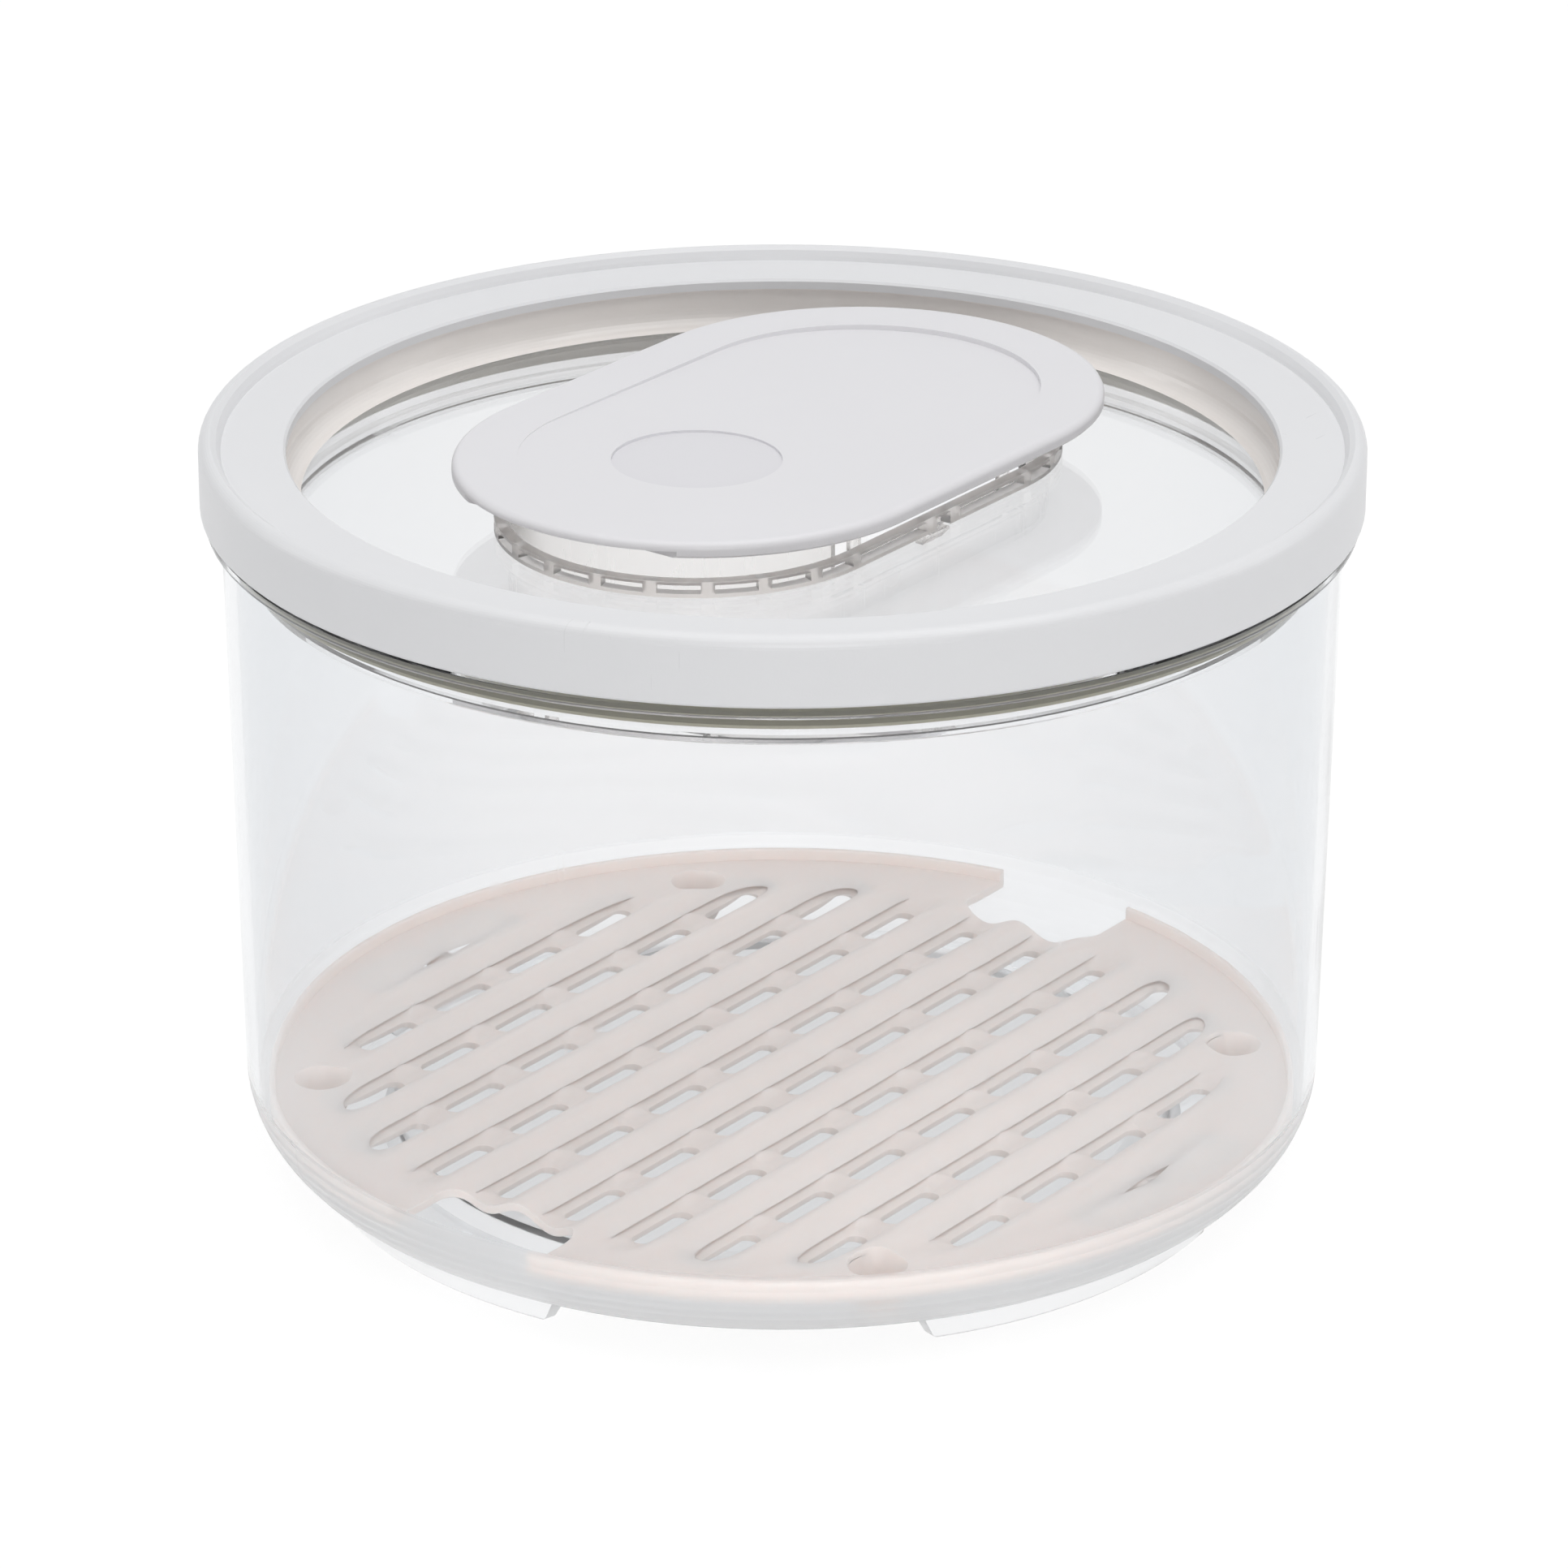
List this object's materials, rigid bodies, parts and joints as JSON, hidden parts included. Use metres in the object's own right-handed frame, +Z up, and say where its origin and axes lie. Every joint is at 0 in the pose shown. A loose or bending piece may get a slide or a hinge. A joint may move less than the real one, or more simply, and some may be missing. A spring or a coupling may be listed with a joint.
{
  "type": "potato storage bin",
  "caption": "Round clear storage bin on curved feet, with a slotted drain tray inside and a press-in lid that has a white rim and an oval push-down vent.",
  "frame": {"origin": "on the bin's axis, at the bottoms of the feet", "axes": "+Z up along the bin's axis; +X along the long axis of the oval vent cap, whose finger relief is at -X; the picture looks towards +X and +Y"},
  "size_m": [0.235, 0.235, 0.1596],
  "materials": {
    "clear_body": "clear polished plastic",
    "tray_plastic": "satin off-white plastic, slightly translucent",
    "clear_lid": "clear polished plastic",
    "rim_plastic": "satin white plastic",
    "gasket_silicone": "translucent grey silicone",
    "cap_plastic": "satin white plastic, a little greyer than the rim",
    "clear_skirt": "clear polished plastic"
  },
  "bodies": {
    "bin": {"bin_body": "clear_body"},
    "tray": {"drain_tray": "tray_plastic"},
    "lid": {"lid_panel": "clear_lid", "lid_rim": "rim_plastic", "lid_gasket": "gasket_silicone"},
    "vent": {"vent_cap": "cap_plastic", "vent_skirt": "clear_skirt"}
  },
  "joints": [
    {"name": "tray_lift", "type": "slide", "parent": "bin", "child": "tray", "axis": [0, 0, 1], "range_m": [0, 0.1]},
    {"name": "lid_lift", "type": "slide", "parent": "bin", "child": "lid", "axis": [0, 0, 1], "range_m": [0, 0.06]},
    {"name": "vent_press", "type": "slide", "parent": "lid", "child": "vent", "axis": [0, 0, -1], "range_m": [0, 0.0075]}
  ]
}
